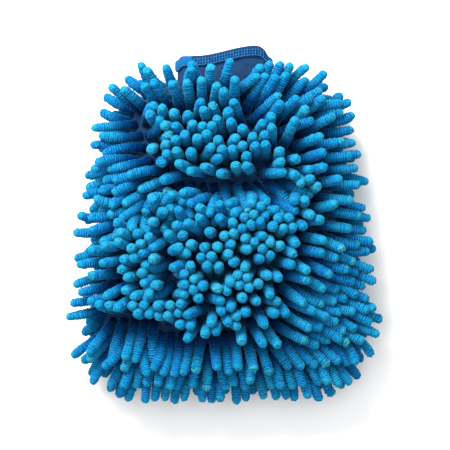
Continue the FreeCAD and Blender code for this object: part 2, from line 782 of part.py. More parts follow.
print("middle of the bag in the part's own frame:", shift + Vector(0.0, 0.0, SEAM_Z))
os.makedirs("parts", exist_ok=True)
for name, shape in shapes.items():
    shape.translate(shift)
    shape.exportStep("parts/" + name + ".step")
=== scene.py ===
import math

import bpy
import numpy as np
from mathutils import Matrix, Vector
from mathutils.bvhtree import BVHTree


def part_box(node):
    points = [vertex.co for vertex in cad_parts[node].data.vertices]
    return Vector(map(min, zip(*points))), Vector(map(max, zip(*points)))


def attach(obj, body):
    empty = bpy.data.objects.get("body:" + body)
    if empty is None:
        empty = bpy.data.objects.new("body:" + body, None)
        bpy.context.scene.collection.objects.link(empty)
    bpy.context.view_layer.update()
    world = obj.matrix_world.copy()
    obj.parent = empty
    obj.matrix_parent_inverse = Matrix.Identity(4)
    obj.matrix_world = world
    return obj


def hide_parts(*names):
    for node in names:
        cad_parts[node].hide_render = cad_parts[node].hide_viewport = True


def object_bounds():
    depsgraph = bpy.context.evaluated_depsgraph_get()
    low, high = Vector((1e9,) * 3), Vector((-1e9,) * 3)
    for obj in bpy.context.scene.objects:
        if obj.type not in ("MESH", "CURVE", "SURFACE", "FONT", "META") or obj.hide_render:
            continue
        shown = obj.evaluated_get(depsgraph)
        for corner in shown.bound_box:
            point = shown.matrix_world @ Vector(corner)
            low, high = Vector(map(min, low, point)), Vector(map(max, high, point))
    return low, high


# Looks of a chenille wash mitt that lies on its back. Every noodle is rebuilt, along the line
# of its CAD solid, as ribbed chenille yarn. The base cloth, lining, cuff and binding are
# modelled as cloth on the CAD shapes. Lengths are in metres.

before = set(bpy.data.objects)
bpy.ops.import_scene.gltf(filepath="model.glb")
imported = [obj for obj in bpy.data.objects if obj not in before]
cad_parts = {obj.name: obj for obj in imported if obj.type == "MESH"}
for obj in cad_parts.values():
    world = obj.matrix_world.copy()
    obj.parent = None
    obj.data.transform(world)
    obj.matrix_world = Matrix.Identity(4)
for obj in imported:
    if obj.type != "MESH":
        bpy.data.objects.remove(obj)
cad_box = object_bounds()
rng = np.random.default_rng(20)

# ---- sizes ----

NOODLE_RADIUS = 0.0036      # of the CAD solids
YARN_RADIUS = 0.0038        # over the crests of the ribs
YARN_SIDES = 14
ROOT_DEPTH = 0.0012         # how deep a noodle starts in the base cloth
LOOP_JITTER = 0.038         # unevenness of the loops, as a share of the radius

RIB_PITCH = 0.00165         # along a noodle
PITCH_RANGE = (0.94, 1.06)  # a noodle's pitch, as a share of RIB_PITCH
RINGS_PER_RIB = 4
RIB_DEPTH = 0.15            # share of the radius
RIB_UNEVENNESS = 0.03       # how much the ribs' radii differ, as a share of the radius
RIB_TILT = 0.00028          # how far a rib leans out of square with the noodle

TIP_TAPER = 0.08            # a noodle is thinner by this share at its tip
TIP_TAPER_REACH = 0.006
TIP_RINGS = 6
TIP_ROUNDING = 0.80         # length of a tip's rounded end, as a share of the radius
TIP_JITTER = 0.05           # of the loops at the tip
TIP_STAND_OUT = 0.00016     # how far the tip's loops stand out along the noodle
FRAYED = 0.05               # share of the noodles whose tips are frayed
FRAYED_JITTER = 0.13
FRAYED_STAND_OUT = 0.0004
FRAYED_CREST = 1.08         # brightness of a frayed tip

CLOTH_STEP = 0.0014         # spacing of the base cloth's vertices
CLOTH_EDGE = 0.0006         # how far inside the panel's ends the first and last rows lie
BASE_THICKNESS = 0.0010
LINING_THICKNESS = 0.0006
BASE_WRINKLE = 0.0003       # depth of the wrinkles
LINING_WRINKLE = 0.0007
RIM_HEIGHT = 0.003          # wrinkles and dimples fade out this close to the seam
PUCKER_DEPTH = 0.0007       # dimple of the base cloth at each noodle's root
PUCKER_RADIUS = 0.0032
FOLD_WIDTH = 0.0045         # of the panels' turned-in edges
FOLD_THICKNESS = 0.0008
FOLD_STEP = 0.0012

BINDING_CELL = 0.0021       # one cell of the woven band's square grid
BINDING_SAMPLES = 8         # vertices along one cell
BINDING_WIDTH = 0.008
BINDING_CLOTH = 0.0006      # thickness of the band's cloth
HALF_FOLD = 0.0016          # half the thickness of the folded band
CELL_ROWS = 12              # rows of cells with a tint of their own
CORD_WIDTH = 0.13           # of the cords between the cells, as a share of a cell
CORD_HEIGHT = 0.00032
SELVEDGE = 0.0005           # plain strip along each edge of the band
PLAIN_FOLD = 0.0024         # plain strip to each side of the fold's middle
LAP_THICKNESS = 0.0007
LAP_END = 0.00025           # how much thicker the lap is at its folded ends

WALE = 0.00125              # one knit column of the rib
WALE_SAMPLES = 4            # vertices along one wale
WALE_DEPTH = 0.00009
RIB_THICKNESS = 0.0011
GATHER_DEPTH = 0.0005       # of the soft folds that the elastic gathers

FLOOR_HALF = 3.0
CAMERA_DISTANCE = 1.25
PICTURE_WIDTH = 0.324       # at the middle of the pile
PILE_HEIGHT = 0.05


# ---- mesh helpers ----

def make_mesh(name, points, faces, attributes=None):
    """New smooth object from arrays of points and of faces with equal numbers of corners. The
    faces of a closed shape are turned to look outwards."""
    points = np.asarray(points, dtype=np.float32)
    faces = np.asarray(faces, dtype=np.int32)
    corners = faces.shape[1]
    volume = 0.0
    for k in range(2, corners):
        a, b, c = (points[faces[:, corner]] for corner in (0, k - 1, k))
        volume += np.einsum("ij,ij->", a, np.cross(b, c))
    if volume < 0.0:
        faces = faces[:, ::-1]
    mesh = bpy.data.meshes.new(name)
    mesh.vertices.add(len(points))
    mesh.vertices.foreach_set("co", points.ravel())
    mesh.loops.add(faces.size)
    mesh.loops.foreach_set("vertex_index", faces.ravel())
    mesh.polygons.add(len(faces))
    mesh.polygons.foreach_set("loop_start", np.arange(len(faces), dtype=np.int32) * corners)
    mesh.polygons.foreach_set("use_smooth", np.full(len(faces), True))
    for key, values in (attributes or {}).items():
        layer = mesh.attributes.new(key, "FLOAT", "POINT")
        layer.data.foreach_set("value", np.asarray(values, dtype=np.float32))
    mesh.update(calc_edges=True)
    mesh.validate()
    piece = bpy.data.objects.new(name, mesh)
    bpy.context.scene.collection.objects.link(piece)
    return piece


def mesh_arrays(node):
    """Points and triangles of a CAD node, with points at the same place joined."""
    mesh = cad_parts[node].data
    points = np.empty(len(mesh.vertices) * 3, dtype=np.float64)
    mesh.vertices.foreach_get("co", points)
    mesh.calc_loop_triangles()
    triangles = np.empty(len(mesh.loop_triangles) * 3, dtype=np.int32)
    mesh.loop_triangles.foreach_get("vertices", triangles)
    points = points.reshape(-1, 3)
    _, first, same = np.unique(
        np.round(points * 1e7).astype(np.int64), axis=0, return_index=True, return_inverse=True)
    return points[first], same.reshape(-1)[triangles].reshape(-1, 3)


def solids_of(points, triangles):
    """Number of the solid that each point belongs to."""
    label = np.arange(len(points))
    while True:
        lowest = label[triangles].min(axis=1)
        renewed = label.copy()
        for corner in range(3):
            np.minimum.at(renewed, triangles[:, corner], lowest)
        renewed = renewed[renewed]
        if np.array_equal(renewed, label):
            return label
        label = renewed


def unit(vectors):
    """Vectors of length 1."""
    return vectors / np.maximum(np.linalg.norm(vectors, axis=-1, keepdims=True), 1e-12)


# ---- noodles ----

def read_arc(points, triangles):
    """Root, first direction, bending direction, curvature and length of one CAD noodle."""
    a, b, c = (points[triangles[:, corner]] for corner in range(3))
    cross = np.cross(b - a, c - a)
    area = np.linalg.norm(cross, axis=1) / 2.0
    normal = unit(cross)
    level = np.einsum("ij,ij->i", normal, a)
    # The flat disc at the root has only short triangles.
    longest = np.linalg.norm(np.stack([a - b, b - c, c - a]), axis=2).max(axis=0)
    left = np.where(longest < 2.1 * NOODLE_RADIUS, area, 0.0)
    best = None
    for _ in range(40):
        largest = int(left.argmax())
        flat = (normal @ normal[largest] > 0.99999) & (np.abs(level - level[largest]) < 2e-5)
        left[flat] = 0.0
        rim = points[np.unique(triangles[flat])]
        spread = np.linalg.norm(rim - rim.mean(axis=0), axis=1)
        if len(rim) < 6 or spread.max() > 1.2 * NOODLE_RADIUS:
            continue
        if best is None or area[flat].sum() > best[0]:
            best = (area[flat].sum(), rim, -normal[largest])
    _, rim, heading = best
    # The rim is a full circle, so the middle of its extent is the centre of the disc.
    side = unit(np.cross(heading, (0.31, 0.52, 0.79)))
    other = np.cross(heading, side)
    flat = np.stack([rim @ side, rim @ other], axis=1)
    centre_flat = (flat.max(axis=0) + flat.min(axis=0)) / 2.0
    root = side * centre_flat[0] + other * centre_flat[1] + heading * (rim @ heading).mean()
    away = points - root
    reach = np.linalg.norm(away, axis=1)
    far = int(reach.argmax())
    chord_length = reach[far] - NOODLE_RADIUS
    chord = away[far] / reach[far]
    half_turn = math.acos(min(1.0, float(chord @ heading)))
    sideways = chord - heading * (chord @ heading)
    if half_turn < 0.004:
        return root, heading, side, 0.0, chord_length
    length = chord_length * half_turn / math.sin(half_turn)
    return root, heading, unit(sideways), 2.0 * half_turn / length, length


def noodle_arcs(node):
    """Middle lines of all noodles in one row."""
    points, triangles = mesh_arrays(node)
    label = solids_of(points, triangles)
    arcs = []
    for number in np.unique(label):
        own = np.flatnonzero(label[triangles[:, 0]] == number)
        if len(own) > 8:
            used, local = np.unique(triangles[own], return_inverse=True)
            arcs.append(read_arc(points[used], local.reshape(-1, 3)))
    return arcs


def smooth_noise(count, knots, strength):
    """Smooth random curve around 0."""
    values = rng.normal(0.0, strength, knots)
    return np.interp(np.linspace(0.0, knots - 1.0, count), np.arange(knots), values)


def yarn_profile(straight_end):
    """Place along the noodle, push past it, radius, crest height and rib number of each ring,
    and the number of rings before the tip."""
    pitch = RIB_PITCH * rng.uniform(*PITCH_RANGE)
    ribs = int(round((straight_end + ROOT_DEPTH) / pitch))
    body_rings = ribs * RINGS_PER_RIB
    along = np.linspace(-ROOT_DEPTH, straight_end, body_rings)
    # Crest and groove of the ribs, with every rib a little different.
    groove = 0.5 + 0.5 * np.cos(np.arange(body_rings) * 2.0 * math.pi / RINGS_PER_RIB)
    rib_number = np.arange(body_rings) // RINGS_PER_RIB
    fullness = 1.0 + rng.normal(0.0, RIB_UNEVENNESS, ribs)[rib_number]
    radius = YARN_RADIUS * fullness * (1.0 - RIB_DEPTH * groove)
    radius *= 1.0 + smooth_noise(body_rings, 7, 0.02)
    to_tip = np.clip((along - straight_end) / TIP_TAPER_REACH + 1.0, 0.0, 1.0)
    radius *= 1.0 - TIP_TAPER * to_tip ** 2
    # The rounded tip: rings of a slightly uneven, flattened half ball.
    turn = np.linspace(0.0, math.pi / 2.0, TIP_RINGS + 1)[1:] * 0.985
    radius = np.concatenate([radius, radius[-1] * np.cos(turn) ** 0.85])
    along = np.concatenate([along, np.full(TIP_RINGS, straight_end)])
    push = TIP_ROUNDING * YARN_RADIUS * np.sin(turn) * rng.uniform(0.85, 1.1)
    push = np.concatenate([np.zeros(body_rings), push])
    crest = np.concatenate([1.0 - groove, np.full(TIP_RINGS, 0.85)])
    rib_number = np.concatenate([rib_number, ribs + np.arange(TIP_RINGS)])
    return along, push, radius, crest, rib_number, body_rings


def arc_frame(arc, along, push):
    """Centre, direction and the two square directions of each ring on a noodle's arc."""
    root, heading, inward, curvature, _ = arc
    angle = curvature * along
    if curvature > 0.0:
        across = np.sin(angle) / curvature
        inwards = (1.0 - np.cos(angle)) / curvature
    else:
        across, inwards = along, np.zeros(len(along))
    centre = root + np.outer(across, heading) + np.outer(inwards, inward)
    facing = np.outer(np.cos(angle), heading) + np.outer(np.sin(angle), inward)
    centre = centre + facing * push[:, None]
    side = np.cross(heading, inward)
    return centre, facing, side, np.cross(side, facing)


def tube_triangles(rings):
    """Triangles of a noodle's rings, closed by one point under its root and one on its tip."""
    ring = np.arange(rings - 1)[:, None] * YARN_SIDES
    place = np.arange(YARN_SIDES)[None, :]
    following = (place + 1) % YARN_SIDES
    quads = np.stack(
        [ring + place, ring + following, ring + YARN_SIDES + following, ring + YARN_SIDES + place],
        axis=-1).reshape(-1, 4)
    root_end = rings * YARN_SIDES
    last_ring = root_end - YARN_SIDES
    root_fan = np.stack(
        [following[0], place[0], np.full(YARN_SIDES, root_end)], axis=-1)
    tip_fan = np.stack(
        [last_ring + place[0], last_ring + following[0], np.full(YARN_SIDES, root_end + 1)], axis=-1)
    return np.concatenate([quads[:, [0, 1, 2]], quads[:, [0, 2, 3]], root_fan, tip_fan])


def yarn(arc):
    """Points, faces and attributes of one noodle of chenille yarn."""
    straight_end = arc[-1] + NOODLE_RADIUS - TIP_ROUNDING * YARN_RADIUS
    along, push, radius, crest, rib_number, body_rings = yarn_profile(straight_end)
    centre, facing, side, up = arc_frame(arc, along, push)
    rings = len(radius)

    around = np.arange(YARN_SIDES) * 2.0 * math.pi / YARN_SIDES + rng.uniform(0.0, math.pi)
    frayed = rng.uniform() < FRAYED
    jitter = np.full(rings, LOOP_JITTER)
    jitter[body_rings - 2:] = FRAYED_JITTER if frayed else TIP_JITTER
    uneven = 1.0 + rng.normal(0.0, 1.0, (rings, YARN_SIDES)) * jitter[:, None]
    slow = 1.0 + 0.02 * np.sin(around[None, :] * 2.0 + np.linspace(0.0, 5.0, rings)[:, None])
    # Ribs tilt a little, each its own way, and the loops of the tip stand out unevenly.
    tilt = rng.normal(0.0, RIB_TILT, body_rings // RINGS_PER_RIB + TIP_RINGS)
    sway = tilt[rib_number][:, None] * np.cos(around[None, :] + rib_number[:, None] * 1.7)
    stand_out = FRAYED_STAND_OUT if frayed else TIP_STAND_OUT
    sway[body_rings:] += rng.normal(0.0, stand_out, (TIP_RINGS, YARN_SIDES))
    out = side[None, None, :] * np.cos(around)[None, :, None]
    out = out + up[:, None, :] * np.sin(around)[None, :, None]
    points = centre[:, None, :] + out * (radius[:, None] * uneven * slow)[:, :, None]
    points = points + facing[:, None, :] * sway[:, :, None]
    points = np.concatenate([points.reshape(-1, 3), centre[[0, -1]]])

    share = np.repeat(np.clip(along / straight_end, 0.0, 1.0), YARN_SIDES)
    share = np.concatenate([share, [0.0, 1.0]])
    if frayed:
        crest[body_rings - 2:] = FRAYED_CREST
    crests = np.concatenate([np.repeat(crest, YARN_SIDES), [0.0, crest[-1]]])
    tint = np.full(len(points), rng.uniform(0.0, 1.0))
    return points, tube_triangles(rings), share, crests, tint


def pile_row(node, name):
    """All noodles of one row as one piece. Returns the piece and its noodles' arcs."""
    arcs = noodle_arcs(node)
    points, triangles, share, crest, tint = [], [], [], [], []
    start = 0
    for arc in arcs:
        made = yarn(arc)
        points.append(made[0])
        triangles.append(made[1] + start)
        share.append(made[2])
        crest.append(made[3])
        tint.append(made[4])
        start += len(made[0])
    attributes = {
        "along": np.concatenate(share),
        "crest": np.concatenate(crest),
        "tint": np.concatenate(tint),
    }
    piece = make_mesh(name, np.concatenate(points), np.concatenate(triangles), attributes)
    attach(piece, "root")
    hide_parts(node)
    return piece, arcs


# ---- materials ----

def new_material(name, roughness, sheen, sheen_roughness, sheen_tint, specular=0.25):
    """Cloth material, its node tree and its shader, with the even values set on the shader."""
    material = bpy.data.materials.new(name)
    material.use_nodes = True
    tree = material.node_tree
    shader = tree.nodes["Principled BSDF"]
    shader.inputs["Roughness"].default_value = roughness
    shader.inputs["Specular IOR Level"].default_value = specular
    shader.inputs["Sheen Weight"].default_value = sheen
    shader.inputs["Sheen Roughness"].default_value = sheen_roughness
    shader.inputs["Sheen Tint"].default_value = sheen_tint
    return material, tree, shader


def add_node(tree, kind, settings=None, inputs=None):
    """Node with its settings and its unlinked or linked inputs."""
    made = tree.nodes.new(kind)
    for key, value in (settings or {}).items():
        setattr(made, key, value)
    for key, value in (inputs or {}).items():
        if isinstance(value, bpy.types.NodeSocket):
            tree.links.new(value, made.inputs[key])
        else:
            made.inputs[key].default_value = value
    return made


def math_node(tree, operation, first, second=0.0, clamp=False):
    """Result of a math node."""
    made = add_node(
        tree, "ShaderNodeMath", {"operation": operation, "use_clamp": clamp},
        {0: first, 1: second})
    return made.outputs[0]


def ramp(tree, factor, stops):
    """Colour ramp with (place, colour) stops."""
    made = add_node(tree, "ShaderNodeValToRGB", None, {"Fac": factor})
    elements = made.color_ramp.elements
    while len(elements) < len(stops):
        elements.new(0.5)
    for element, (place, colour) in zip(elements, stops):
        element.position = place
        element.color = (*colour, 1.0)
    return made.outputs["Color"]


def attribute(tree, name):
    """Value stored on the mesh."""
    return add_node(tree, "ShaderNodeAttribute", {"attribute_name": name}).outputs["Fac"]


def noise(tree, scale, detail=2.0, roughness=0.5):
    """Noise in the object's own coordinates. The scale is in waves per metre."""
    place = add_node(tree, "ShaderNodeTexCoord").outputs["Object"]
    made = add_node(
        tree, "ShaderNodeTexNoise", None,
        {"Vector": place, "Scale": scale, "Detail": detail, "Roughness": roughness})
    return made.outputs["Fac"]


def loops(tree, scale):
    """Small round loops: 1 in the middle of a loop and 0 between loops."""
    place = add_node(tree, "ShaderNodeTexCoord").outputs["Object"]
    cells = add_node(
        tree, "ShaderNodeTexVoronoi", {"feature": "F1"}, {"Vector": place, "Scale": scale})
    return math_node(tree, "SUBTRACT", 1.0, math_node(
        tree, "MULTIPLY", cells.outputs["Distance"], 1.25), clamp=True)


def chenille_material():
    """Blue microfibre chenille: bright on the crests and tips, with painted shade in the rib grooves
    and towards the root.
    """
    material, tree, shader = new_material(
        "blue_chenille", 0.95, 0.50, 0.35, (0.14, 0.60, 0.88, 1.0), 0.0)
    along = attribute(tree, "along")
    crest = attribute(tree, "crest")
    tint = attribute(tree, "tint")
    loop = loops(tree, 880.0)
    cloud = noise(tree, 60.0, 2.0)
    # Brightness of the yarn, as painted light: painted shade in the rib grooves, and a darkening
    # between the loops that is partly the loops' mottled texture and partly painted shade.
    light = math_node(tree, "ADD", math_node(tree, "MULTIPLY", crest, 0.32), 0.13)
    light = math_node(tree, "ADD", light, math_node(tree, "MULTIPLY", loop, 0.32))
    light = math_node(tree, "ADD", light, math_node(tree, "MULTIPLY", tint, 0.12))
    light = math_node(tree, "ADD", light, math_node(tree, "MULTIPLY", cloud, 0.12))
    # The top of the ramp, on the crests, is a pale, partly painted highlight.
    colour = ramp(tree, light, (
        (0.10, (0.004, 0.010, 0.085)),
        (0.35, (0.005, 0.062, 0.260)),
        (0.60, (0.003, 0.185, 0.375)),
        (0.82, (0.030, 0.290, 0.355)),
        (1.00, (0.200, 0.410, 0.370)),
    ))
    # Painted shade: the yarn's colour is darkened towards its root, where little light reaches
    # between the noodles.
    painted_root_shade = ramp(tree, along, (
        (0.0, (0.01, 0.02, 0.08)),
        (0.38, (0.16, 0.21, 0.36)),
        (0.78, (1.0, 1.0, 1.0)),
    ))
    root_shaded_colour = add_node(tree, "ShaderNodeVectorMath", {"operation": "MULTIPLY"},
                    {0: colour, 1: painted_root_shade})
    tree.links.new(root_shaded_colour.outputs["Vector"], shader.inputs["Base Color"])
    bump = add_node(
        tree, "ShaderNodeBump", None,
        {"Strength": 0.5, "Distance": 0.0004, "Height": loop})
    tree.links.new(bump.outputs["Normal"], shader.inputs["Normal"])
    return material


def knit_material(name, dark, light, scale, strength):
    """Fine knit or woven cloth: crossing waves for its loops, and a soft variation of colour."""
    material, tree, shader = new_material(name, 0.85, 0.25, 0.5, (0.4, 0.7, 1.0, 1.0), 0.2)
    place = add_node(tree, "ShaderNodeTexCoord").outputs["Object"]
    waves = []
    for direction, stretch in (("X", 1.0), ("Y", 1.35)):
        wave = add_node(
            tree, "ShaderNodeTexWave",
            {"wave_type": "BANDS", "bands_direction": direction, "wave_profile": "SIN"},
            {"Vector": place, "Scale": scale * stretch, "Distortion": 1.2,
             "Detail": 1.0, "Detail Scale": 1.5})
        waves.append(wave.outputs["Fac"])
    stitches = math_node(tree, "MULTIPLY", waves[0], waves[1])
    cloud = noise(tree, 260.0, 3.0)
    factor = math_node(tree, "ADD", math_node(tree, "MULTIPLY", stitches, 0.5),
                       math_node(tree, "MULTIPLY", cloud, 0.5))
    tree.links.new(ramp(tree, factor, ((0.1, dark), (0.85, light))), shader.inputs["Base Color"])
    bump = add_node(
        tree, "ShaderNodeBump", None, {"Strength": strength, "Distance": 0.0003, "Height": stitches})
    tree.links.new(bump.outputs["Normal"], shader.inputs["Normal"])
    return material


def binding_material():
    """Woven band: light cords around dark cells, as stored on the mesh."""
    material, tree, shader = new_material(
        "woven_binding", 0.75, 0.15, 0.4, (0.4, 0.75, 1.0, 1.0), 0.15)
    crest = attribute(tree, "crest")
    tint = attribute(tree, "tint")
    fibre = noise(tree, 1400.0, 2.0, 0.6)
    factor = math_node(tree, "ADD", math_node(tree, "MULTIPLY", crest, 0.66),
                       math_node(tree, "MULTIPLY", fibre, 0.22))
    factor = math_node(tree, "ADD", factor, math_node(tree, "MULTIPLY", tint, 0.12))
    colour = ramp(tree, factor, (
        (0.12, (0.0, 0.010, 0.050)),
        (0.40, (0.0, 0.035, 0.120)),
        (0.68, (0.002, 0.100, 0.270)),
        (0.92, (0.040, 0.270, 0.500)),
    ))
    tree.links.new(colour, shader.inputs["Base Color"])
    bump = add_node(
        tree, "ShaderNodeBump", None,
        {"Strength": 0.35, "Distance": 0.0002, "Height": fibre})
    tree.links.new(bump.outputs["Normal"], shader.inputs["Normal"])
    return material


def thread_material(name, dark, light):
    """Twisted sewing thread or elastic: slanting strands."""
    material, tree, shader = new_material(name, 0.55, 0.1, 0.4, (1.0, 1.0, 1.0, 1.0), 0.4)
    place = add_node(tree, "ShaderNodeTexCoord").outputs["Object"]
    wave = add_node(
        tree, "ShaderNodeTexWave",
        {"wave_type": "BANDS", "bands_direction": "DIAGONAL", "wave_profile": "SIN"},
        {"Vector": place, "Scale": 700.0, "Distortion": 0.5, "Detail": 1.0})
    tree.links.new(
        ramp(tree, wave.outputs["Fac"], ((0.1, dark), (0.8, light))), shader.inputs["Base Color"])
    bump = add_node(
        tree, "ShaderNodeBump", None,
        {"Strength": 0.4, "Distance": 0.0001, "Height": wave.outputs["Fac"]})
    tree.links.new(bump.outputs["Normal"], shader.inputs["Normal"])
    return material


def floor_material():
    """Pale matt floor with a very slight unevenness."""
    material, tree, shader = new_material("pale_floor", 0.75, 0.0, 0.5, (1.0, 1.0, 1.0, 1.0), 0.2)
    cloud = noise(tree, 3.0, 2.0)
    colour = ramp(tree, cloud, ((0.3, (0.90, 0.90, 0.90)), (0.7, (0.93, 0.93, 0.93))))
    tree.links.new(colour, shader.inputs["Base Color"])
    return material


# ---- cloth on the CAD shapes ----

def tree_of(node):
    """Search tree of a CAD node's surface."""
    points, triangles = mesh_arrays(node)
    return BVHTree.FromPolygons(points.tolist(), triangles.tolist())


def hit(tree, origin, direction):
    """First point of the surface along a ray, or None."""
    place = tree.ray_cast(Vector(origin), Vector(direction))[0]
    return None if place is None else np.array(place)


def closed_sheet(cells):
    """Faces of a closed sheet: its upper grid of points, the same grid again for its lower face,
    and a wall round the border."""
    count = cells.size
    quads = np.stack([cells[:-1, :-1], cells[:-1, 1:], cells[1:, 1:], cells[1:, :-1]], axis=-1)
    quads = quads.reshape(-1, 4)
    border = np.concatenate([cells[0, :], cells[1:, -1], cells[-1, -2::-1], cells[-2:0:-1, 0]])
    following = np.roll(border, -1)
    wall = np.stack([border, border + count, following + count, following], axis=-1)
    return np.concatenate([quads, quads[:, ::-1] + count, wall])


def cloth_side(node, name, outward, thickness, roots, wrinkle):
    """Cloth that follows one face of the bag, with a dimple at each noodle's root and fine
    wrinkles. outward is +1 for the front and -1 for the back."""
    tree = tree_of(node)
    low, high = (np.array(corner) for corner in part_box(node))
    seam = low[2] if outward > 0 else high[2]
    rows = int((high[1] - low[1]) / CLOTH_STEP)
    columns = int((high[0] - low[0]) / CLOTH_STEP)
    surface = np.empty((rows, columns, 3))
    for i in range(rows):
        y = low[1] + CLOTH_EDGE + (high[1] - low[1] - 2.0 * CLOTH_EDGE) * i / (rows - 1)
        z = seam + outward * 0.0003
        left = hit(tree, (low[0] - 0.01, y, z), (1.0, 0.0, 0.0))
        right = hit(tree, (high[0] + 0.01, y, z), (-1.0, 0.0, 0.0))
        if left is None or right is None:
            left, right = surface[i - 1, 0], surface[i - 1, -1]
        for j in range(columns):
            share = 0.5 - 0.5 * math.cos(math.pi * j / (columns - 1))
            share = 0.5 * share + 0.5 * j / (columns - 1)
            x = left[0] + (right[0] - left[0]) * share
            place = None
            if 0 < j < columns - 1:
                place = hit(tree, (x, y, seam + outward * 0.1), (0.0, 0.0, -outward))
            surface[i, j] = (x, y, seam) if place is None else place
    points = surface.reshape(-1, 3)
    inner = points.copy()
    # Dimples at the roots, and wrinkles that fade out at the rim.
    rim = np.minimum(np.abs(points[:, 2] - seam) / RIM_HEIGHT, 1.0)
    wave = np.sin(points[:, 0] * 410.0 + 1.3 * np.sin(points[:, 1] * 170.0))
    wave *= np.cos(points[:, 1] * 330.0 + 1.1 * np.sin(points[:, 0] * 210.0))
    drop = wrinkle * (0.5 + 0.5 * wave)
    for root in roots:
        near = np.hypot(points[:, 0] - root[0], points[:, 1] - root[1])
        drop += PUCKER_DEPTH * np.exp(-(near / PUCKER_RADIUS) ** 2)
    points[:, 2] -= outward * drop * rim
    inner[:, 2] = points[:, 2] - outward * thickness * np.maximum(rim, 0.25)
    faces = closed_sheet(np.arange(len(points)).reshape(rows, columns))
    piece = make_mesh(name, np.concatenate([points, inner]), faces)
    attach(piece, "root")
    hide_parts(node)
    return piece


def seam_fold():
    """Turned-in edges of the panels: a narrow strip along the seam whose free edge ripples."""
    node = "seam_allowance"
    tree = tree_of(node)
    low, high = (np.array(corner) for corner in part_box(node))
    level = (low[2] + high[2]) / 2.0
    levels = np.linspace(high[1] - 0.0004, low[1] + 0.0002, 260)
    right = [hit(tree, (high[0] + 0.01, y, level), (-1.0, 0.0, 0.0)) for y in levels]
    left = [hit(tree, (low[0] - 0.01, y, level), (1.0, 0.0, 0.0)) for y in levels]
    outline = np.array(right + left[::-1])[:, :2]
    run = np.concatenate([[0.0], np.cumsum(np.linalg.norm(np.diff(outline, axis=0), axis=1))])
    places = np.linspace(0.0, run[-1], int(run[-1] / FOLD_STEP))
    path = np.stack([np.interp(places, run, outline[:, axis]) for axis in (0, 1)], axis=1)
    ahead = unit(np.gradient(path, axis=0))
    inward = np.stack([ahead[:, 1], -ahead[:, 0]], axis=1)
    shares = np.linspace(0.0, 1.0, 7)
    ripple = 0.0007 * np.sin(places * 420.0) + 0.0004 * np.sin(places * 173.0 + 1.0)
    layers = []
    for side in (1.0, -1.0):
        layer = np.empty((len(path), len(shares), 3))
        layer[:, :, :2] = path[:, None] + inward[:, None] * (shares * FOLD_WIDTH)[None, :, None]
        rounding = np.sin(math.pi * np.clip(shares, 0.08, 0.92)) ** 0.3
        layer[:, :, 2] = level + ripple[:, None] * shares ** 2
        layer[:, :, 2] += side * FOLD_THICKNESS / 2.0 * rounding
        layers.append(layer.reshape(-1, 3))
    count = len(layers[0])
    cells = np.arange(count).reshape(len(path), len(shares))
    piece = make_mesh("seam_fold", np.concatenate(layers), closed_sheet(cells))
    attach(piece, "root")
    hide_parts(node)
    return piece


def oval_of(node):
    """Centre and half axes of a tube along Y, seen along its length."""
    low, high = (np.array(corner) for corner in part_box(node))
    centre = (low + high) / 2.0
    return centre, (high[0] - low[0]) / 2.0, (high[2] - low[2]) / 2.0


def around_oval(long_axis, short_axis, count):
    """Angles that divide an oval into equal lengths, and its girth."""
    fine = np.linspace(0.0, 2.0 * math.pi, 4001)
    x, z = long_axis * np.cos(fine), short_axis * np.sin(fine)
    length = np.concatenate([[0.0], np.cumsum(np.hypot(np.diff(x), np.diff(z)))])
    return np.interp(np.arange(count) / count * length[-1], length, fine), length[-1]


def on_oval(angles, centre, axes):
    """Points of an oval at level 0 along Y, and the directions square to it."""
    level = np.zeros(len(angles))
    cosine, sine = np.cos(angles), np.sin(angles)
    normal = unit(np.stack([cosine / axes[0], level, sine / axes[1]], axis=1))
    base = np.stack([centre[0] + axes[0] * cosine, level, centre[2] + axes[1] * sine], axis=1)
    return base, normal


def swept_ring(name, angles, centre, axes, offsets, levels, attributes):
    """Closed ring round an oval. At each angle it passes through a closed loop of points, given
    by their offsets from the oval and their levels along Y."""
    base, normal = on_oval(angles, centre, axes)
    points = base[:, None] + normal[:, None] * offsets[:, :, None]
    points[:, :, 1] = levels
    cells = np.arange(offsets.size).reshape(offsets.shape)
    ahead = np.roll(cells, -1, axis=0)
    quads = np.stack(
        [cells, np.roll(cells, -1, axis=1), np.roll(ahead, -1, axis=1), ahead], axis=-1)
    piece = make_mesh(name, points.reshape(-1, 3), quads.reshape(-1, 4), attributes)
    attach(piece, "root")
    return piece


def edge_levels(node, angles, centre, axes):
    """Level of the top of a ring along Y at each angle, found from above it."""
    tree = tree_of(node)
    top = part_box(node)[1][1] + 0.02
    levels = []
    for angle in angles:
        x = centre[0] + axes[0] * math.cos(angle)
        z = centre[2] + axes[1] * math.sin(angle)
        place = hit(tree, (x, top, z), (0.0, -1.0, 0.0))
        levels.append(np.nan if place is None else place[1])
    levels = np.array(levels)
    known = ~np.isnan(levels)
    return np.interp(np.arange(len(levels)), np.flatnonzero(known), levels[known])


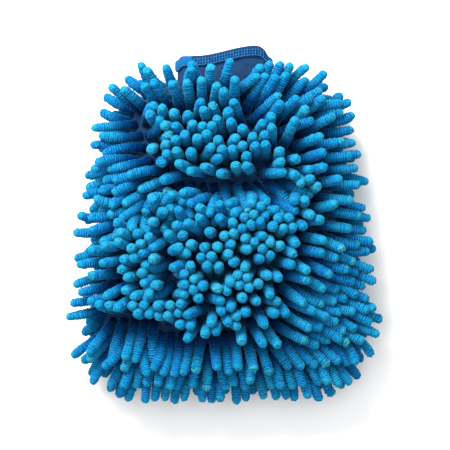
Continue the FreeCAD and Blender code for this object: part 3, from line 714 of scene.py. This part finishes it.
def binding():
    """Woven elastic band folded over the cuff's edge, with raised square cells."""
    node = "cuff_binding"
    centre, long_axis, short_axis = oval_of(node)
    axes = (long_axis - HALF_FOLD, short_axis - HALF_FOLD)
    girth = around_oval(long_axis, short_axis, 4)[1]
    cells = int(round(girth / BINDING_CELL))
    angles = around_oval(long_axis, short_axis, cells * BINDING_SAMPLES)[0]
    heights = edge_levels(node, angles, centre, axes)
    # The loop of (offset, drop) pairs: outer leg, fold and inner leg, then the hidden side.
    leg = BINDING_WIDTH - HALF_FOLD
    straight = np.linspace(0.0, 1.0, 32)
    fold = np.linspace(0.0, math.pi, 11)[1:-1]
    outer = [(HALF_FOLD, BINDING_WIDTH - leg * t) for t in straight]
    bend = [(HALF_FOLD * math.cos(t), HALF_FOLD * (1.0 - math.sin(t))) for t in fold]
    inner = [(-HALF_FOLD, HALF_FOLD + leg * t) for t in straight]
    skin = np.array(outer + bend + inner)
    inside = HALF_FOLD - BINDING_CLOTH
    hidden = [(-inside, BINDING_WIDTH), (-inside, HALF_FOLD), (0.0, 2.0 * BINDING_CLOTH),
              (inside, HALF_FOLD), (inside, BINDING_WIDTH)]
    profile = np.concatenate([skin, hidden])
    # Cords cross at the borders of the square cells. The fold and the selvedges are plain.
    run = np.concatenate([[0.0], np.cumsum(np.linalg.norm(np.diff(skin, axis=0), axis=1))])
    from_column = np.abs((np.arange(len(angles)) / BINDING_SAMPLES + 0.5) % 1.0 - 0.5)
    from_row = np.abs((run / BINDING_CELL) % 1.0 - 0.5)
    column_cord = np.exp(-(from_column / CORD_WIDTH) ** 2)
    row_cord = np.exp(-(from_row / CORD_WIDTH) ** 2)
    cords = np.maximum(column_cord[:, None], 0.85 * row_cord[None, :])
    from_edge = np.minimum(run, run[-1] - run)
    plain = (from_edge < SELVEDGE) | (np.abs(run - run[-1] / 2.0) < PLAIN_FOLD)
    cords[:, plain] = 0.10
    crest = np.zeros((len(angles), len(profile)))
    crest[:, :len(skin)] = cords
    relief = np.zeros_like(crest)
    relief[:, :len(skin)] = CORD_HEIGHT * (cords - 0.5)
    relief[:, len(outer) + len(bend):len(skin)] *= -1.0
    cell_tint = rng.uniform(0.0, 1.0, (cells, CELL_ROWS))
    columns = (np.arange(len(angles)) // BINDING_SAMPLES)[:, None]
    rows = np.minimum((run / BINDING_CELL).astype(int), CELL_ROWS - 1)[None, :]
    tint = np.zeros_like(crest)
    tint[:, :len(skin)] = cell_tint[columns, rows]
    piece = swept_ring(
        "cuff_band", angles, centre, axes, profile[:, 0] + relief,
        heights[:, None] - profile[:, 1], {"crest": crest.ravel(), "tint": tint.ravel()})
    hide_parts(node)
    return piece


def rib():
    """Fine knit tube of the cuff, gathered into soft folds."""
    node = "wrist_rib"
    centre, long_axis, short_axis = oval_of(node)
    half = RIB_THICKNESS / 2.0
    axes = (long_axis - half, short_axis - half)
    girth = around_oval(long_axis, short_axis, 4)[1]
    wales = int(round(girth / WALE))
    angles = around_oval(long_axis, short_axis, wales * WALE_SAMPLES)[0]
    heights = edge_levels(node, angles, centre, axes)
    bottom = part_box(node)[0][1]
    # Down the outside of the tube and up its inside.
    rows = 44
    down = np.linspace(0.0, 1.0, rows)
    down = np.concatenate([down, down[::-1]])
    outside = np.arange(len(down)) < rows
    wale = np.cos(2.0 * math.pi * np.arange(len(angles)) / WALE_SAMPLES)
    gather = np.sin(angles * 13.0 + 0.8 * np.sin(angles * 3.0)) * 0.5
    gather += np.sin(angles * 21.0 + 1.9) * 0.3
    swell = np.sin(math.pi * down) ** 0.7
    relief = GATHER_DEPTH * gather[:, None] * swell[None, :]
    relief += WALE_DEPTH * wale[:, None] * outside[None, :]
    offsets = np.where(outside, half, -half) + relief
    levels = heights[:, None] + (bottom - heights)[:, None] * down
    crest = 0.5 + 0.5 * np.repeat(wale[:, None], len(down), axis=1)
    piece = swept_ring("cuff_rib", angles, centre, axes, offsets, levels, {"crest": crest.ravel()})
    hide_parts(node)
    return piece


def lap():
    """Folded end of the binding, lapped over its start at the left side of the cuff."""
    node = "binding_overlap"
    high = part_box(node)[1]
    centre, long_axis, short_axis = oval_of("cuff_binding")
    reach = math.acos(max(-1.0, (high[0] - centre[0]) / long_axis))
    angles = np.linspace(reach, 2.0 * math.pi - reach, 90)
    heights = edge_levels(
        "cuff_binding", angles, centre, (long_axis - HALF_FOLD, short_axis - HALF_FOLD))
    rows = 26
    down = np.linspace(0.0002, BINDING_WIDTH - 0.0003, rows)
    base, normal = on_oval(angles, centre, (long_axis, short_axis))
    # The folded ends are thicker and rounded, and the layer bulges between its edges.
    to_end = np.minimum(np.arange(len(angles)), np.arange(len(angles))[::-1]) / 6.0
    end_bulge = np.exp(-(to_end - 0.5) ** 2 / 0.35) * LAP_END
    bulge = np.sin(math.pi * np.linspace(0.02, 0.98, rows)) ** 0.35
    rise = LAP_THICKNESS * bulge + end_bulge[:, None]
    outer = base[:, None] + normal[:, None] * rise[:, :, None]
    inner = np.repeat((base - normal * 0.0001)[:, None], rows, axis=1)
    outer[:, :, 1] = heights[:, None] - down
    inner[:, :, 1] = outer[:, :, 1]
    outer[[0, -1]] = inner[[0, -1]] + normal[[0, -1]][:, None, :] * LAP_END
    count = len(angles) * rows
    faces = closed_sheet(np.arange(count).reshape(len(angles), rows))
    piece = make_mesh(
        "band_lap", np.concatenate([outer.reshape(-1, 3), inner.reshape(-1, 3)]), faces,
        {"crest": np.full(2 * count, 0.72), "tint": np.full(2 * count, 0.5)})
    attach(piece, "root")
    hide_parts(node)
    return piece


# ---- camera, light and floor ----

def look_at(thing, target):
    """Turn a light towards a point."""
    direction = Vector(target) - thing.location
    thing.rotation_euler = direction.to_track_quat("-Z", "Y").to_euler()


def area_light(name, place, target, size, power, colour):
    """Square area light aimed at a point."""
    data = bpy.data.lights.new(name, "AREA")
    data.size = size
    data.energy = power
    data.color = colour
    light = bpy.data.objects.new(name, data)
    light.location = place
    bpy.context.scene.collection.objects.link(light)
    look_at(light, target)


def studio():
    """Pale floor, white surroundings, soft key light from the upper left, and the camera."""
    scene = bpy.context.scene
    middle = [(a + b) / 2.0 for a, b in zip(*cad_box)]
    corners = ((-1.0, -1.0), (1.0, -1.0), (1.0, 1.0), (-1.0, 1.0))
    floor = make_mesh(
        "floor", [(x * FLOOR_HALF, y * FLOOR_HALF, 0.0) for x, y in corners], [(0, 1, 2, 3)])
    floor.data.materials.append(floor_material())
    world = bpy.data.worlds.new("studio")
    world.use_nodes = True
    background = world.node_tree.nodes["Background"]
    background.inputs["Color"].default_value = (1.0, 1.0, 1.0, 1.0)
    background.inputs["Strength"].default_value = 0.60
    scene.world = world
    area_light("key", (-0.42, 0.82, 0.76), middle, 0.55, 28.0, (1.0, 0.99, 0.97))
    area_light("overhead", (-0.1, 0.1, 1.6), middle, 1.3, 15.0, (1.0, 1.0, 1.0))
    scene.view_settings.view_transform = "Standard"

    data = bpy.data.cameras.new("camera")
    camera = bpy.data.objects.new("camera", data)
    scene.collection.objects.link(camera)
    # Straight down, with the cuff at the top of the picture.
    camera.location = (middle[0], middle[1], PILE_HEIGHT + CAMERA_DISTANCE)
    camera.rotation_euler = (0.0, 0.0, 0.0)
    data.angle = 2.0 * math.atan(PICTURE_WIDTH / 2.0 / CAMERA_DISTANCE)
    scene.camera = camera


# ---- the mitt ----

chenille = chenille_material()
# The base cloth is made very dark partly as painted shade for the gaps between the noodles.
base_knit = knit_material("base_knit", (0.0, 0.008, 0.040), (0.0, 0.050, 0.165), 260.0, 0.5)
lining_cloth = knit_material(
    "lining_cloth", (0.0, 0.030, 0.090), (0.004, 0.120, 0.300), 420.0, 0.3)
rib_knit = knit_material("rib_knit", (0.004, 0.008, 0.042), (0.002, 0.075, 0.200), 380.0, 0.45)
woven = binding_material()
thread = thread_material("blue_thread", (0.0, 0.04, 0.13), (0.01, 0.16, 0.38))
elastic = thread_material("elastic", (0.35, 0.35, 0.33), (0.70, 0.70, 0.67))

roots = {"front": [], "back": []}
for node in sorted(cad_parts):
    if "_pile_row_" in node:
        face, number = node.split("_pile_row_")
        row, arcs = pile_row(node, face + "_noodles_" + number)
        row.data.materials.append(chenille)
        roots[face] += [arc[0] for arc in arcs]

for face, outward in (("front", 1.0), ("back", -1.0)):
    cloth = cloth_side(
        face + "_panel", face + "_base", outward, BASE_THICKNESS, roots[face], BASE_WRINKLE)
    cloth.data.materials.append(base_knit)
    lining = cloth_side(
        face + "_lining", face + "_lining_cloth", outward, LINING_THICKNESS, [], LINING_WRINKLE)
    lining.data.materials.append(lining_cloth)

binding().data.materials.append(woven)
rib().data.materials.append(rib_knit)
lap().data.materials.append(woven)
seam_fold().data.materials.append(base_knit)

for node, material in (
        ("wrist_elastic", elastic), ("seam_stitches", thread), ("binding_stitches", thread),
        ("cuff_seam_stitches", thread), ("overlap_stitches", thread)):
    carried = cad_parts[node]
    carried.data.materials.clear()
    carried.data.materials.append(material)

studio()
